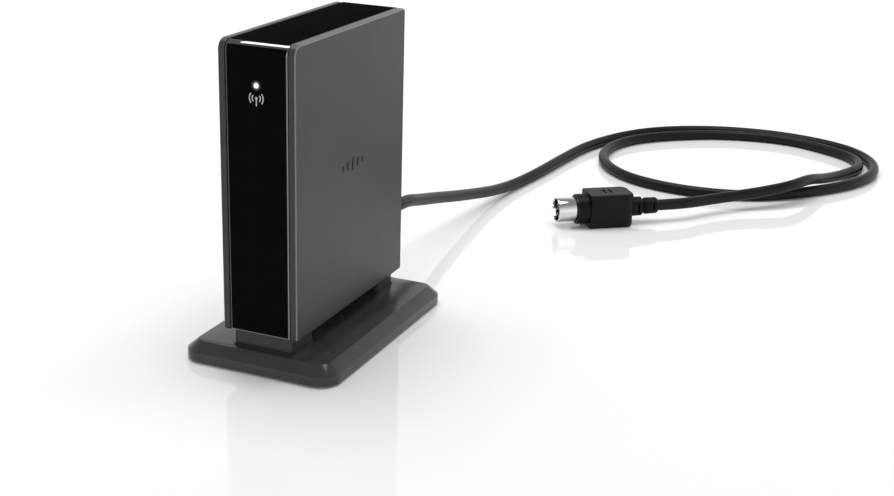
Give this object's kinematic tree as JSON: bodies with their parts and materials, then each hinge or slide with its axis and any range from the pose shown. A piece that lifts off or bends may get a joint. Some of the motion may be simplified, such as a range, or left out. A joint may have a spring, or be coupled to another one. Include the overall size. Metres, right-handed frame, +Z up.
{
  "type": "wireless audio receiver",
  "caption": "Slim upright wireless audio receiver on a bevelled pedestal, with a glossy front, a pairing button and a captive lead ending in a round plug.",
  "frame": {"origin": "centre of the pedestal's footprint, on the surface it stands on", "axes": "+Z up along the tower; the glossy front faces -Y; +X is the side with the raised decoration"},
  "size_m": [0.1643, 0.3526, 0.0982],
  "materials": {
    "charcoal_paint": "satin charcoal lacquer over moulded shells, very fine texture",
    "gloss_black": "polished piano-black moulding",
    "pedestal_plastic": "charcoal moulding with a fine spark-eroded texture",
    "post_plastic": "satin black moulding",
    "black_plastic": "black moulding with a fine texture",
    "button_plastic": "satin black button cap",
    "foot_rubber": "matt black rubber",
    "ballast_steel": "zinc plated steel plate",
    "screw_steel": "black zinc plated screws",
    "emblem_paint": "raised decoration in darker satin lacquer",
    "icon_white": "pale printed sign",
    "clear_plastic": "clear light pipe",
    "frame_plastic": "grey glass-filled moulding",
    "board_laminate": "green solder resist on glass laminate",
    "chip_epoxy": "moulded epoxy package",
    "shield_tin": "tinned steel can",
    "ceramic": "pale ceramic",
    "capacitor_can": "bare aluminium can",
    "ferrite": "moulded iron powder",
    "led_resin": "clear resin lens",
    "header_nylon": "natural nylon",
    "wire_insulation": "coloured insulated wires",
    "cord_jacket": "satin black flexible jacket",
    "gland_rubber": "black flexible strain relief",
    "plug_moulding": "black over-moulded plug",
    "plug_metal": "bright nickel plate",
    "insert_plastic": "black insulating core",
    "contact_gold": "thin gold plate"
  },
  "bodies": {
    "receiver": {"pedestal_shell": "pedestal_plastic", "ballast_plate": "ballast_steel", "base_cover": "black_plastic", "rubber_feet": "foot_rubber", "cover_screws": "screw_steel", "front_post": "post_plastic", "rear_post": "post_plastic", "tower_screws": "screw_steel", "side_shell_left": "charcoal_paint", "side_shell_right": "charcoal_paint", "side_emblem": "emblem_paint", "gloss_band": "gloss_black", "status_icon": "icon_white", "light_pipe": "clear_plastic", "rear_panel": "black_plastic", "rear_screws": "screw_steel", "bottom_tray": "black_plastic", "inner_frame": "frame_plastic", "main_board": "board_laminate", "board_screws": "screw_steel", "radio_board": "board_laminate", "radio_shield": "shield_tin", "chip_antenna": "ceramic", "audio_processor": "chip_epoxy", "audio_converter": "chip_epoxy", "memory_chip": "chip_epoxy", "voltage_regulator": "chip_epoxy", "power_inductor": "ferrite", "filter_capacitors": "capacitor_can", "crystal": "shield_tin", "status_led": "led_resin", "button_switch": "chip_epoxy", "board_socket": "header_nylon", "lead_housing": "header_nylon", "inner_leads": "wire_insulation", "cable_gland": "gland_rubber", "cord": "cord_jacket", "plug_strain_relief": "gland_rubber", "plug_body": "plug_moulding", "plug_collar": "plug_moulding", "plug_shell": "plug_metal", "plug_insert": "insert_plastic", "plug_pins": "contact_gold"},
    "button": {"pair_button": "button_plastic", "switch_plunger": "black_plastic"}
  },
  "joints": [
    {"name": "pair_button_press", "type": "slide", "parent": "receiver", "child": "button", "axis": [0, -1, 0], "range_m": [0, 0.0005], "stiffness_N_per_m": 3000}
  ]
}
